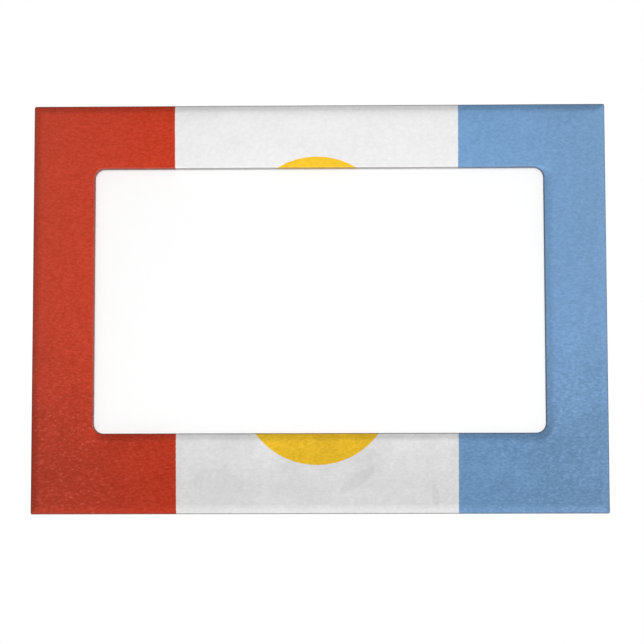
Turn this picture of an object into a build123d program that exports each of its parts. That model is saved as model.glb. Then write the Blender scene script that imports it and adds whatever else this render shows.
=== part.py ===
from build123d import *
import math
import os

# A padded photo frame that clings to a steel door by the flexible magnet on its back.
# Sizes are in millimetres. X runs to the right as the frame is looked at, Z runs up, and the front faces -Y.
# The origin is the middle of the magnet's back face, which is the face that lies on the steel.
# Heights are measured from that face towards the front, so a height of h lies at y = -h.

# Overall size and the four bars round the window
frame_width = 177.8
frame_height = 127.0
side_bar = 19.2
top_bar = 19.9
bottom_bar = 24.8
window_radius = 3.0

# Front cover: printed imitation leather, drawn over the padding and folded in behind the front board
cover_thickness = 0.45
bevel_width = 2.3
bevel_drop = 1.0
bevel_softening = 2.6
corner_radius = 0.7
window_turn_in = 7.0
turn_in_gap = 2.9
mitre_slit = 0.4

# Padding and front board inside the cover
padding_thickness = 1.2
front_board_thickness = 1.0

# Clear film behind the window, and the tape that holds it
film_thickness = 0.25
film_margin = 5.5
film_corner_radius = 1.0
film_tape_thickness = 0.1
film_tape_width = 3.5
film_tape_inset = 0.8

# Photo card, how far it reaches past the window, and its play in the pocket
card_thickness = 0.25
card_side_overlap = 6.5
card_top_overlap = 9.0
card_bottom_overlap = 10.3
card_corner_radius = 0.3
card_side_play = 0.5
card_bottom_play = 0.2
card_face_play = 0.2

# Spacer strips that make the pocket
spacer_inset = 0.5
spacer_joint_gap = 0.2

# Back panel: a board in a plain cover, with a lining inside its turned-in edges
back_inset = 1.0
back_corner_radius = 1.5
back_cover_thickness = 0.35
back_board_thickness = 0.8
back_rim_radius = 0.25
lining_overlap = 0.9
lining_gap = 0.3
notch_radius = 15.0
notch_mouth_radius = 2.0

# Magnet sheet and its adhesive tape
magnet_thickness = 0.8
magnet_tape_thickness = 0.1
magnet_margin = 4.5
magnet_tape_margin = 1.0
magnet_corner_radius = 3.0
magnet_notch_margin = 1.0

# How far a cut runs past what it cuts
cut_overrun = 1.0

# Window, measured between the bars
window_width = frame_width - 2 * side_bar
window_height = frame_height - top_bar - bottom_bar
window_top = frame_height / 2 - top_bar
window_bottom = bottom_bar - frame_height / 2
window_centre = (window_top + window_bottom) / 2

# The turned-in outer edge stops short of the window's own turned-in edge
outer_turn_in = side_bar - window_turn_in - turn_in_gap

# Photo card and pocket
card_width = window_width + 2 * card_side_overlap
card_top = window_top + card_top_overlap
card_bottom = window_bottom - card_bottom_overlap
pocket_half_width = card_width / 2 + card_side_play
pocket_bottom = card_bottom - card_bottom_play
spacer_thickness = film_tape_thickness + film_thickness + card_thickness + 2 * card_face_play

# Back panel and magnet outlines. The lining reaches a little under the side spacers, and the back
# cover's turned-in edges stop short of it.
back_width = frame_width - 2 * back_inset
back_height = frame_height - 2 * back_inset
back_top = back_height / 2
back_turn_in = back_width / 2 - pocket_half_width - lining_overlap - lining_gap
magnet_width = back_width - 2 * magnet_margin
magnet_height = back_height - 2 * magnet_margin
spacer_half_width = back_width / 2 - spacer_inset
spacer_half_height = back_height / 2 - spacer_inset

# Heights of the layers, from the steel to the front
magnet_front = magnet_thickness
back_cover_back = magnet_front + magnet_tape_thickness
back_board_back = back_cover_back + back_cover_thickness
back_board_front = back_board_back + back_board_thickness
pocket_back = back_board_front + back_cover_thickness
card_back = pocket_back + card_face_play
pocket_front = pocket_back + spacer_thickness
film_front = pocket_front - film_tape_thickness
film_back = film_front - film_thickness
front_board_back = pocket_front + cover_thickness
front_board_front = front_board_back + front_board_thickness
padding_front = front_board_front + padding_thickness
frame_front = padding_front + cover_thickness

# The bevel of the padding lies one cover thickness inside the bevel of the cover
bevel_length = math.hypot(bevel_width, bevel_drop)
inner_bevel_excess = bevel_length - bevel_width - bevel_drop
inner_bevel_width = bevel_width + cover_thickness * inner_bevel_excess / bevel_drop
inner_bevel_drop = bevel_drop + cover_thickness * inner_bevel_excess / bevel_width


def level(height):
    """The plane across the frame at one height, seen from the front: X to the right and Z up."""
    return Plane.XZ.offset(height)


def bars_sketch(height, inset):
    """The four bars at one height, with their outer and window edges both drawn in by an inset."""
    with BuildSketch(level(height)) as bars:
        Rectangle(frame_width - 2 * inset, frame_height - 2 * inset)
        with Locations((0, window_centre)):
            RectangleRounded(
                window_width + 2 * inset,
                window_height + 2 * inset,
                window_radius + inset,
                mode=Mode.SUBTRACT,
            )
    return bars.sketch


def bevelled_bars(back, front, inset, width, drop):
    """The four bars as a solid between two heights, with a bevel all round on the front edges."""
    with BuildPart() as bars:
        extrude(bars_sketch(back, inset), amount=front - back)
        front_face = bars.faces().sort_by(Axis.Y)[0]
        chamfer(front_face.edges(), length=width, length2=drop, reference=front_face)
    return bars.part


def panel_sketch(height, width, tall, radius):
    """A rectangle with rounded corners on the frame's middle, at one height."""
    with BuildSketch(level(height)) as panel:
        RectangleRounded(width, tall, radius)
    return panel.sketch


def notch_sketch(height, radius):
    """The half-round thumb notch in the back panel's top edge, its mouth rounded, at one height."""
    half_mouth = radius + notch_mouth_radius
    with BuildSketch(level(height)) as notch:
        with Locations((0, back_top)):
            Circle(radius)
        with Locations((0, back_top + cut_overrun)):
            Rectangle(2 * (half_mouth + cut_overrun), 2 * cut_overrun)
        mouth_corners = notch.vertices().filter_by(
            lambda v: abs(v.Y - back_top) < cut_overrun and abs(v.X) < half_mouth
        )
        fillet(mouth_corners, notch_mouth_radius)
    return notch.sketch


def strip_sketch(height, left, right, bottom, top):
    """A plain strip between two X and two Z places, at one height."""
    with BuildSketch(level(height)) as strip:
        with Locations(((left + right) / 2, (bottom + top) / 2)):
            Rectangle(right - left, top - bottom)
    return strip.sketch


def turn_in_opening(height):
    """Where the front board's back shows: between the turned-in edges, and at the window's cut corners."""
    flap_half_width = window_width / 2 + window_turn_in
    flap_half_height = window_height / 2 + window_turn_in
    corner_span = window_turn_in + window_radius
    corner_x = flap_half_width - corner_span / 2
    corner_z = flap_half_height - corner_span / 2
    with BuildSketch(level(height)) as opening:
        Rectangle(frame_width - 2 * outer_turn_in, frame_height - 2 * outer_turn_in)
        with Locations((0, window_centre)):
            Rectangle(2 * flap_half_width, 2 * flap_half_height, mode=Mode.SUBTRACT)
            with GridLocations(2 * corner_x, 2 * corner_z, 2, 2):
                Rectangle(corner_span, corner_span)
            RectangleRounded(
                window_width + 2 * cover_thickness,
                window_height + 2 * cover_thickness,
                window_radius + cover_thickness,
                mode=Mode.SUBTRACT,
            )
    return opening.sketch


def mitre_slits(height, width, tall, turn_in, wall):
    """The slits where two turned-in edges meet at 45 degrees, each running a little past the edges."""
    slit_end = turn_in + mitre_slit
    slit_length = (slit_end - wall) * math.sqrt(2)
    slit_x = width / 2 - (slit_end + wall) / 2
    slit_z = tall / 2 - (slit_end + wall) / 2
    with BuildSketch(level(height)) as slits:
        for side_x in (-1, 1):
            for side_z in (-1, 1):
                with Locations((side_x * slit_x, side_z * slit_z)):
                    Rectangle(slit_length, mitre_slit, rotation=side_x * side_z * 45)
    return slits.sketch


def save(piece, name):
    """Names a finished piece and writes it to its own file."""
    piece.part.label = name
    export_step(piece.part, f"parts/{name}.step")


os.makedirs("parts", exist_ok=True)

# Front cover: hollow for the padding and the board, open behind between its turned-in edges
with BuildPart() as front_cover:
    add(bevelled_bars(pocket_front, frame_front, 0, bevel_width, bevel_drop))
    face_edges = faces().sort_by(Axis.Y)[0].edges()
    fillet(face_edges, bevel_softening)
    corner_edges = edges().filter_by(Axis.Y).filter_by(lambda e: abs(e.center().X) > window_width / 2)
    fillet(corner_edges, corner_radius)
    hollow = bevelled_bars(
        front_board_back, padding_front, cover_thickness, inner_bevel_width, inner_bevel_drop
    )
    add(hollow, mode=Mode.SUBTRACT)
    extrude(turn_in_opening(pocket_front), amount=cover_thickness, mode=Mode.SUBTRACT)
    extrude(
        mitre_slits(pocket_front, frame_width, frame_height, outer_turn_in, cover_thickness),
        amount=cover_thickness,
        mode=Mode.SUBTRACT,
    )
save(front_cover, "front_cover")

# Padding: a thin foam frame, pressed down to almost nothing at its edges by the cover
with BuildPart() as foam_pad:
    add(
        bevelled_bars(
            front_board_front, padding_front, cover_thickness, inner_bevel_width, inner_bevel_drop
        )
    )
save(foam_pad, "foam_pad")

# Front board: stiff grey board with the window cut out
with BuildPart() as front_board:
    extrude(bars_sketch(front_board_back, cover_thickness), amount=front_board_thickness)
save(front_board, "front_board")

# Window film: clear sheet, taped behind the window's turned-in edges
film_half_width = window_width / 2 + film_margin
film_half_height = window_height / 2 + film_margin
with BuildPart() as window_film:
    with BuildSketch(level(film_back)):
        with Locations((0, window_centre)):
            RectangleRounded(2 * film_half_width, 2 * film_half_height, film_corner_radius)
    extrude(amount=film_thickness)
save(window_film, "window_film")

# Film tapes: four strips of double-sided tape between the film and the turned-in edges
tape_outer_x = film_half_width - film_tape_inset
tape_outer_z = film_half_height - film_tape_inset
tape_inner_z = tape_outer_z - film_tape_width
side_tape_x = tape_outer_x - film_tape_width / 2
end_tape_z = tape_outer_z - film_tape_width / 2
side_tape_height = 2 * (tape_inner_z - film_tape_inset)
with BuildPart() as film_tapes:
    with BuildSketch(level(film_front)):
        with Locations((0, window_centre - end_tape_z), (0, window_centre + end_tape_z)):
            Rectangle(2 * tape_outer_x, film_tape_width)
        with Locations((-side_tape_x, window_centre), (side_tape_x, window_centre)):
            Rectangle(film_tape_width, side_tape_height)
    extrude(amount=film_tape_thickness)
save(film_tapes, "film_tapes")

# Side spacers: card strips that guide the photo card, open at the top
for side_name, side in (("left_spacer", -1), ("right_spacer", 1)):
    inner_x = side * pocket_half_width
    outer_x = side * spacer_half_width
    with BuildPart() as side_spacer:
        extrude(
            strip_sketch(
                pocket_back,
                min(inner_x, outer_x),
                max(inner_x, outer_x),
                -spacer_half_height,
                spacer_half_height,
            ),
            amount=spacer_thickness,
        )
    save(side_spacer, side_name)

# Bottom spacer: the card strip that the photo card stands on
bottom_spacer_half = pocket_half_width - spacer_joint_gap
with BuildPart() as bottom_spacer:
    extrude(
        strip_sketch(
            pocket_back, -bottom_spacer_half, bottom_spacer_half, -spacer_half_height, pocket_bottom
        ),
        amount=spacer_thickness,
    )
save(bottom_spacer, "bottom_spacer")

# Photo card: the blank white card that shows in the window, and slides out at the top
with BuildPart() as photo_card:
    with BuildSketch(level(card_back)):
        with Locations((0, (card_top + card_bottom) / 2)):
            RectangleRounded(card_width, card_top - card_bottom, card_corner_radius)
    extrude(amount=card_thickness)
save(photo_card, "photo_card")

# Back lining: smooth paper that fills the space inside the back cover's turned-in edges
lining_inset = back_turn_in + lining_gap
with BuildPart() as back_lining:
    extrude(
        strip_sketch(
            back_board_front,
            lining_inset - back_width / 2,
            back_width / 2 - lining_inset,
            lining_inset - back_height / 2,
            back_height / 2 - lining_inset,
        ),
        amount=back_cover_thickness,
    )
    extrude(notch_sketch(back_board_front, notch_radius), amount=back_cover_thickness, mode=Mode.SUBTRACT)
save(back_lining, "back_lining")

# Back board: stiff grey board with the thumb notch
board_radius = back_corner_radius - back_cover_thickness
with BuildPart() as back_board:
    extrude(
        panel_sketch(
            back_board_back,
            back_width - 2 * back_cover_thickness,
            back_height - 2 * back_cover_thickness,
            board_radius,
        ),
        amount=back_board_thickness,
    )
    extrude(notch_sketch(back_board_back, notch_radius), amount=back_board_thickness, mode=Mode.SUBTRACT)
save(back_board, "back_board")

# Back cover: plain imitation leather over the back board's outside, its edges and a border inside
back_cover_height = pocket_back - back_cover_back
with BuildPart() as back_cover:
    extrude(
        panel_sketch(back_cover_back, back_width, back_height, back_corner_radius),
        amount=back_cover_height,
    )
    fillet(faces().sort_by(Axis.Y)[-1].edges(), back_rim_radius)
    extrude(
        panel_sketch(
            back_board_back,
            back_width - 2 * back_cover_thickness,
            back_height - 2 * back_cover_thickness,
            board_radius,
        ),
        amount=back_board_thickness,
        mode=Mode.SUBTRACT,
    )
    extrude(
        strip_sketch(
            back_board_front,
            back_turn_in - back_width / 2,
            back_width / 2 - back_turn_in,
            back_turn_in - back_height / 2,
            back_height / 2 - back_turn_in,
        ),
        amount=back_cover_thickness,
        mode=Mode.SUBTRACT,
    )
    extrude(
        mitre_slits(back_board_front, back_width, back_height, back_turn_in, 2 * back_cover_thickness),
        amount=back_cover_thickness,
        mode=Mode.SUBTRACT,
    )
    extrude(notch_sketch(back_cover_back, notch_radius), amount=back_cover_height, mode=Mode.SUBTRACT)
save(back_cover, "back_cover")

# Magnet tape: the adhesive layer between the magnet sheet and the back cover
with BuildPart() as magnet_tape:
    extrude(
        panel_sketch(
            magnet_front,
            magnet_width - 2 * magnet_tape_margin,
            magnet_height - 2 * magnet_tape_margin,
            magnet_corner_radius - magnet_tape_margin,
        ),
        amount=magnet_tape_thickness,
    )
    extrude(
        notch_sketch(magnet_front, notch_radius + magnet_notch_margin + magnet_tape_margin),
        amount=magnet_tape_thickness,
        mode=Mode.SUBTRACT,
    )
save(magnet_tape, "magnet_tape")

# Magnet sheet: flexible rubber-bound magnet, its back face on the steel
with BuildPart() as magnet_sheet:
    extrude(
        panel_sketch(0, magnet_width, magnet_height, magnet_corner_radius),
        amount=magnet_thickness,
    )
    extrude(
        notch_sketch(0, notch_radius + magnet_notch_margin),
        amount=magnet_thickness,
        mode=Mode.SUBTRACT,
    )
save(magnet_sheet, "magnet_sheet")
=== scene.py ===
"""A magnetic photo frame: a padded front in printed imitation leather, a photo pocket, and a magnet behind.

Sizes are written in millimetres and turned to metres by MM. X runs to the right as the frame is looked at,
Z runs up, and the front faces -Y. A height is a distance from the steel towards the front, so it lies at -Y.
"""

import logging
import math
from dataclasses import dataclass, field, replace
from enum import Enum
from functools import cached_property
from typing import Callable, Sequence

import bmesh
import bpy
from mathutils import Matrix, Vector


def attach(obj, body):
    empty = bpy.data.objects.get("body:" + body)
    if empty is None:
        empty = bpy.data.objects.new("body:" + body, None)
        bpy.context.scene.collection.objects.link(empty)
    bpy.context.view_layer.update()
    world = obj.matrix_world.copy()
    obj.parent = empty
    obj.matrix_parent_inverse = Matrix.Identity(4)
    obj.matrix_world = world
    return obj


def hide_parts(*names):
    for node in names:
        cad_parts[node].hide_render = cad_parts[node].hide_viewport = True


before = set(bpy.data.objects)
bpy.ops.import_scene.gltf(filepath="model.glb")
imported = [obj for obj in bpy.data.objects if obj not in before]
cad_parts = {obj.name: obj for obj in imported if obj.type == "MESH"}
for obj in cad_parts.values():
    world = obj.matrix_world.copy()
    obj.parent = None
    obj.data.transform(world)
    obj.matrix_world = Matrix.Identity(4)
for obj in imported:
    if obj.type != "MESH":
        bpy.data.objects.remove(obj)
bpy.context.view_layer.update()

LOG = logging.getLogger("photo_frame")
MM = 0.001
CLOSE = 1e-6
SAME_LEVEL = 1e-7
SIM_FRAMES = 20
SIM_SCALE = 10.0
SMOOTH_ANGLE = math.radians(32)
WHITE = (1.0, 1.0, 1.0, 1.0)

# Most values of a noise lie between these two.
NOISE = (0.3, 0.7)

# A wave texture of scale 1 repeats after this many metres.
WAVE_SPAN = 0.314

# A colour Mix node has its colours on these sockets, because the names also stand for its number sockets.
MIX_A, MIX_B, MIX_OUT = 6, 7, 2

Point = tuple[float, float]
Place = tuple[float, float, float]
Colour = tuple[float, float, float, float]
Piece = bpy.types.Object
Socket = bpy.types.NodeSocket
Face = bmesh.types.BMFace


class Facing(Enum):
    """Which way a flat starting plane looks."""

    FRONT = -1
    BACK = 1


class Use(Enum):
    """What a lamp does: whether the object stops its light, and whether it shows in gloss."""

    KEY = (True, False)
    FILL = (False, True)
    BACK = (True, True)


def set_up(thing: bpy.types.bpy_struct, **settings) -> bpy.types.bpy_struct:
    """Sets properties of something, and returns it.

    Args:
        thing: the node, modifier, object or data.
        **settings: its properties.

    Returns:
        The same thing.
    """
    for name, value in settings.items():
        setattr(thing, name, value)
    return thing


def metres(sizes: Sequence[float]) -> tuple[float, ...]:
    """Turns sizes in millimetres to metres."""
    return tuple(size * MM for size in sizes)


def near(first: float, second: float) -> bool:
    """Whether two places along an axis are the same."""
    return abs(first - second) < CLOSE


def linear(hex_colour: str) -> Colour:
    """Turns an sRGB hex colour, with its hash, into the linear one that shaders take."""
    parts = [int(hex_colour[i : i + 2], 16) / 255 for i in (1, 3, 5)]
    return (*(p / 12.92 if p <= 0.04045 else ((p + 0.055) / 1.055) ** 2.4 for p in parts), 1.0)


def wear(piece: Piece, material: bpy.types.Material) -> None:
    """Gives a piece one material all over, in place of any that it has."""
    piece.data.materials.clear()
    piece.data.materials.append(material)


def start_on(piece: Piece, *others: Piece) -> None:
    """Makes a piece active, in object mode, with nothing selected but it and any others that are named.

    Args:
        piece: the object to work on.
        *others: the others.
    """
    if bpy.context.object is not None and bpy.context.object.mode != "OBJECT":
        bpy.ops.object.mode_set(mode="OBJECT")
    bpy.ops.object.select_all(action="DESELECT")
    for each in (piece, *others):
        each.select_set(True)
    bpy.context.view_layer.objects.active = piece


def edit(piece: Piece, action: str = "DESELECT") -> None:
    """Opens a piece in edit mode.

    Args:
        piece: the object.
        action: DESELECT to start with nothing selected, or SELECT to start with everything.
    """
    start_on(piece)
    bpy.ops.object.mode_set(mode="EDIT")
    bpy.ops.mesh.select_all(action=action)


def done() -> None:
    """Goes back to object mode."""
    bpy.ops.object.mode_set(mode="OBJECT")


def pick(piece: Piece, kind: str, test: Callable[..., bool] = lambda item: True) -> None:
    """Selects what passes a test in the mesh that is open in edit mode, and nothing else.

    Args:
        piece: the object in edit mode.
        kind: VERT, EDGE or FACE.
        test: is given each vertex, edge or face and says whether it is wanted. Left out, all are.
    """
    bpy.ops.mesh.select_mode(type=kind)
    bpy.ops.mesh.select_all(action="DESELECT")
    mesh = bmesh.from_edit_mesh(piece.data)
    for item in {"VERT": mesh.verts, "EDGE": mesh.edges, "FACE": mesh.faces}[kind]:
        if test(item):
            item.select_set(True)
    mesh.select_flush_mode()
    bmesh.update_edit_mesh(piece.data)


def cut_away(piece: Piece, test: Callable[[Face], bool]) -> None:
    """Deletes faces of a piece.

    Args:
        piece: the object.
        test: is given each face and says whether it goes.
    """
    edit(piece)
    pick(piece, "FACE", test)
    bpy.ops.mesh.delete(type="FACE")
    done()


def slice_at(place: Place, normal: Place) -> None:
    """Cuts the mesh that is open in edit mode along a plane."""
    bpy.ops.mesh.select_all(action="SELECT")
    bpy.ops.mesh.bisect(plane_co=place, plane_no=normal)


def round_corners(reach: float, steps: int) -> None:
    """Rounds the selected corners, starting at a distance in metres, in so many steps."""
    bpy.ops.mesh.bevel(offset=reach, offset_type="OFFSET", segments=steps, affect="VERTICES")


def add_plane(name: str, size: float, place: Place, turn: float) -> Piece:
    """Adds a square plane.

    Args:
        name: the object's name.
        size: how long its sides are, in metres.
        place: where its middle is, in metres.
        turn: its turn about X, in radians.

    Returns:
        The object, with its place and turn in its mesh.
    """
    bpy.ops.object.select_all(action="DESELECT")
    bpy.ops.mesh.primitive_plane_add(size=size, location=place, rotation=(turn, 0, 0))
    piece = bpy.context.object
    piece.name = piece.data.name = name
    bpy.ops.object.transform_apply(location=True, rotation=True, scale=True)
    return piece


def apply_modifiers(piece: Piece) -> None:
    """Applies all of a piece's modifiers in order.

    Args:
        piece: the object.
    """
    start_on(piece)
    for modifier in list(piece.modifiers):
        bpy.ops.object.modifier_apply(modifier=modifier.name)


def smooth(piece: Piece) -> None:
    """Shades a piece smooth, with its sharp corners kept."""
    start_on(piece)
    bpy.ops.object.shade_smooth_by_angle(angle=SMOOTH_ANGLE)


def enlarge(piece: Piece, times: float) -> None:
    """Scales a piece's mesh about the origin.

    Args:
        piece: the object.
        times: how many times larger it gets.
    """
    edit(piece, "SELECT")
    bpy.ops.transform.resize(value=(times, times, times), center_override=(0, 0, 0))
    done()


def point_outwards(piece: Piece) -> None:
    """Merges a mesh's doubles and recalculates its normals, so that the front faces -Y.

    Args:
        piece: the object.
    """
    edit(piece, "SELECT")
    bpy.ops.mesh.remove_doubles(threshold=CLOSE)
    bpy.ops.mesh.normals_make_consistent(inside=False)
    done()


def thicken(piece: Piece, thickness: float) -> None:
    """Gives a skin its thickness, in millimetres inwards, and closes it."""
    set_up(piece.modifiers.new("thickness", "SOLIDIFY"), thickness=thickness * MM, offset=-1)
    apply_modifiers(piece)


def weigh(piece: Piece, name: str, weight: Callable[[Vector], float]) -> None:
    """Makes a vertex group.

    Args:
        piece: the object.
        name: the group's name.
        weight: is given each point's place and says its weight, from 0 to 1.
    """
    group = piece.vertex_groups.new(name=name)
    for vertex in piece.data.vertices:
        group.add([vertex.index], min(1.0, max(0.0, weight(vertex.co))), "REPLACE")


def soft_path(corners: Sequence[Point], rounds: Sequence[float], steps: int) -> list[Point]:
    """Rounds the inner corners of a section line.

    Args:
        corners: the line's points, its two ends among them.
        rounds: how far from each inner corner its rounding starts.
        steps: how many points each rounding gets, less one.

    Returns:
        The points of the rounded line.
    """
    path = [corners[0]]
    for before, corner, after, reach in zip(corners, corners[1:], corners[2:], rounds):
        middle = Vector(corner)
        start, end = (middle + (Vector(side) - middle).normalized() * reach for side in (before, after))
        for step in range(steps + 1):
            t = step / steps
            path.append(tuple(start * (1 - t) ** 2 + middle * 2 * t * (1 - t) + end * t**2))
    path.append(corners[-1])
    return path


def spaced(path: Sequence[Point], longest: float) -> list[Point]:
    """Divides the long runs of a section line.

    Args:
        path: the line's points.
        longest: the longest run that stays whole.

    Returns:
        The points with more put in between.
    """
    full = [path[0]]
    for start, end in zip(path, path[1:]):
        pieces = max(1, math.ceil(math.dist(start, end) / longest))
        for step in range(1, pieces + 1):
            t = step / pieces
            full.append((start[0] + (end[0] - start[0]) * t, start[1] + (end[1] - start[1]) * t))
    return full


@dataclass(frozen=True)
class Outline:
    """A rectangle with rounded corners that lies flat in the frame, in millimetres."""

    width: float
    height: float
    radius: float
    middle: float = 0.0
    corner_steps: int = 4
    across: int = 1
    along: int = 1

    def grown(self, by: float) -> "Outline":
        """The same outline, moved outwards evenly."""
        return replace(self, width=self.width + 2 * by, height=self.height + 2 * by, radius=self.radius + by)

    def within(self, by: float) -> "Outline":
        """The same outline scaled to lie inside, with its corner in proportion."""
        width, height = self.width - 2 * by, self.height - 2 * by
        return replace(self, width=width, height=height, radius=self.radius * width / self.width)

    def reach(self, place: Vector) -> tuple[float, Point]:
        """How far outside the outline a place is.

        Args:
            place: a place in metres.

        Returns:
            The distance in millimetres, less than 0 inside, and the outward direction on x and z.
        """
        x, z = place.x / MM, place.z / MM - self.middle
        over_x = abs(x) - self.width / 2 + self.radius
        over_z = abs(z) - self.height / 2 + self.radius
        if over_x > 0 and over_z > 0:
            length = math.hypot(over_x, over_z)
            away, distance = (over_x / length, over_z / length), length - self.radius
        elif over_x > over_z:
            away, distance = (1.0, 0.0), over_x - self.radius
        else:
            away, distance = (0.0, 1.0), over_z - self.radius
        return distance, (math.copysign(away[0], x), math.copysign(away[1], z))

    def on_mitre(self, place: Vector, slit: float, start: float) -> bool:
        """Whether a place is this far inside, at least, and at most a slit's half width off a diagonal."""
        in_x, in_z = self.width / 2 - abs(place.x) / MM, self.height / 2 - abs(place.z) / MM
        return abs(in_x - in_z) < slit and min(in_x, in_z) > start

    def lay(self, name: str, at: float, facing: Facing = Facing.FRONT) -> Piece:
        """Makes the outline as one flat face.

        Args:
            name: the object's name.
            at: its height, in millimetres.
            facing: the way that the face looks.

        Returns:
            The object, in object mode, with its place in its mesh.
        """
        centre = (0, -at * MM, self.middle * MM)
        piece = add_plane(name, 1, centre, -facing.value * math.pi / 2)
        edit(piece)
        pick(piece, "VERT")
        bpy.ops.transform.resize(value=(self.width * MM, 1, self.height * MM), center_override=centre)
        round_corners(self.radius * MM, self.corner_steps)
        for cuts, level in ((self.across - 1, 2), (self.along - 1, 0)):
            if cuts > 0:
                self._divide_sides(piece, cuts, level)
        done()
        return piece

    def _divide_sides(self, piece: Piece, cuts: int, axis: int) -> None:
        """Cuts the two straight sides that keep one value along an axis.

        Args:
            piece: the object in edit mode.
            cuts: how many cuts each side gets.
            axis: 2 for the level sides, 0 for the upright ones.
        """
        bpy.ops.mesh.select_all(action="SELECT")
        bpy.ops.mesh.delete(type="ONLY_FACE")
        shortest = 0.5 * min(self.width - 2 * self.radius, self.height - 2 * self.radius) * MM

        def is_side(edge: bmesh.types.BMEdge) -> bool:
            """Whether an edge is one of the two sides."""
            start, end = (vertex.co[axis] for vertex in edge.verts)
            return abs(start - end) < SAME_LEVEL and edge.calc_length() > shortest

        pick(piece, "EDGE", is_side)
        bpy.ops.mesh.subdivide(number_cuts=cuts)
        bpy.ops.mesh.select_all(action="SELECT")
        bpy.ops.mesh.edge_face_add()


def stretch_face(outline: Outline, sections: Sequence[Point], outwards: float) -> None:
    """Draws the selected flat face on through a section, leaving a wall behind it.

    Args:
        outline: what the section is measured from.
        sections: distance from the outline and height at each ring, the face's own ring first.
        outwards: 1 if the distances lie outside the outline, -1 if inside.
    """
    for (before, height), (after, next_height) in zip(sections, sections[1:]):
        step = {"value": (0, (height - next_height) * MM, 0)}
        bpy.ops.mesh.extrude_region_move(TRANSFORM_OT_translate=step)
        wide, high = (
            (size + 2 * outwards * after) / (size + 2 * outwards * before)
            for size in (outline.width, outline.height)
        )
        centre = (0, -next_height * MM, outline.middle * MM)
        bpy.ops.transform.resize(value=(wide, 1, high), center_override=centre)


def inset_face(sections: Sequence[Point]) -> None:
    """Insets the selected flat face through a section, each ring an even distance inside the last.

    Args:
        sections: distance outside the last ring and height at each ring, the face's own ring first.
    """
    for (before, height), (after, next_height) in zip(sections, sections[1:]):
        bpy.ops.mesh.inset(thickness=(before - after) * MM, use_boundary=True, use_even_offset=True)
        bpy.ops.transform.translate(value=(0, (height - next_height) * MM, 0))


def bridge(piece: Piece, on_ring: Callable[[bmesh.types.BMEdge], bool], away: float) -> None:
    """Bridges two concentric rings, the inner of which stands off behind, and brings that one back.

    Rings in one plane would be bridged crosswise.

    Args:
        piece: the object in edit mode.
        on_ring: is given each edge and says whether it belongs to one of the rings.
        away: how far the inner ring stands off, with all that hangs on it, in metres.
    """
    pick(piece, "EDGE", on_ring)
    bpy.ops.mesh.bridge_edge_loops()
    pick(piece, "VERT", lambda vertex: vertex.co.y > away / 2)
    bpy.ops.transform.translate(value=(0, -away, 0))


def bars_skin(
    name: str,
    outer: Outline,
    window: Outline,
    outer_section: Sequence[Point],
    window_section: Sequence[Point],
    inset_rings: int,
    flat_rings: int,
) -> Piece:
    """Models the skin of the four bars: one part for the outer edge, one for the window, bridged by the flat.

    Args:
        name: the new object's name.
        outer: the frame's outline.
        window: the window's outline.
        outer_section: distance inside the frame's outline and height at each ring, the flat's edge first.
        window_section: distance outside the window's outline and height at each ring, the flat's edge first.
        inset_rings: how many of the window's rings are set in evenly, before the wall goes straight back.
        flat_rings: how many rings of faces the flat has.

    Returns:
        The skin, open at the last ring of both sections.
    """
    start, front = outer_section[0]
    flat, away = -front * MM, outer.width * MM
    skin = outer.within(start).lay(name, front)
    edit(skin)
    pick(skin, "FACE")
    stretch_face(outer, outer_section, -1)
    pick(skin, "FACE", lambda face: len(face.verts) > 4)
    bpy.ops.mesh.delete(type="ONLY_FACE")
    done()

    opening = window.grown(window_section[0][0]).lay("opening", front)
    edit(opening)
    pick(opening, "FACE")
    inset_face(window_section[:inset_rings])
    stretch_face(window, window_section[inset_rings - 1 :], 1)
    bpy.ops.mesh.delete(type="ONLY_FACE")
    bpy.ops.mesh.select_all(action="SELECT")
    bpy.ops.transform.translate(value=(0, away, 0))
    done()

    start_on(skin, opening)
    bpy.ops.object.join()
    edit(skin)

    def on_flat_ring(edge: bmesh.types.BMEdge) -> bool:
        """Whether an edge lies on one of the flat's two open rings."""
        return edge.is_boundary and all(near(v.co.y, flat) or near(v.co.y, flat + away) for v in edge.verts)

    def is_across(edge: bmesh.types.BMEdge) -> bool:
        """Whether an edge runs across the flat of a bar."""
        bar = (outer.width - window.width) / 4 * MM
        return all(near(v.co.y, flat) for v in edge.verts) and edge.calc_length() > bar

    bridge(skin, on_flat_ring, away)
    pick(skin, "EDGE", is_across)
    bpy.ops.mesh.subdivide_edgering(number_cuts=flat_rings - 1, interpolation="LINEAR")
    done()
    return skin


def swell(piece: Piece, held: Callable[[Vector], float], pressure: float, most: float) -> None:
    """Swells a skin a little with a short cloth simulation, as the foam behind it does.

    Args:
        piece: an open or closed skin.
        held: says for each point how firmly it is held, from 0 to 1.
        pressure: the cloth's pressure at the simulation's scale.
        most: the furthest that a point may move, in millimetres.
    """
    before = [vertex.co.copy() for vertex in piece.data.vertices]
    weigh(piece, "held", held)
    enlarge(piece, SIM_SCALE)
    cloth = piece.modifiers.new("swell", "CLOTH")
    set_up(cloth.settings, quality=5, mass=0.3, use_pressure=True, uniform_pressure_force=pressure)
    cloth.settings.vertex_group_mass = "held"
    cloth.settings.effector_weights.gravity = 0
    cloth.collision_settings.use_collision = False
    cloth.point_cache.frame_end = SIM_FRAMES
    for number in range(1, SIM_FRAMES + 1):
        bpy.context.scene.frame_set(number)
    apply_modifiers(piece)
    bpy.context.scene.frame_set(1)
    enlarge(piece, 1 / SIM_SCALE)
    piece.vertex_groups.clear()
    furthest = 0.0
    for vertex, start in zip(piece.data.vertices, before):
        move = vertex.co - start
        furthest = max(furthest, move.length)
        if move.length > most * MM:
            vertex.co = start + move.normalized() * most * MM
    LOG.info("%s swelled by %.2f mm, capped at %.2f mm", piece.name, furthest / MM, most)


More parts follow.
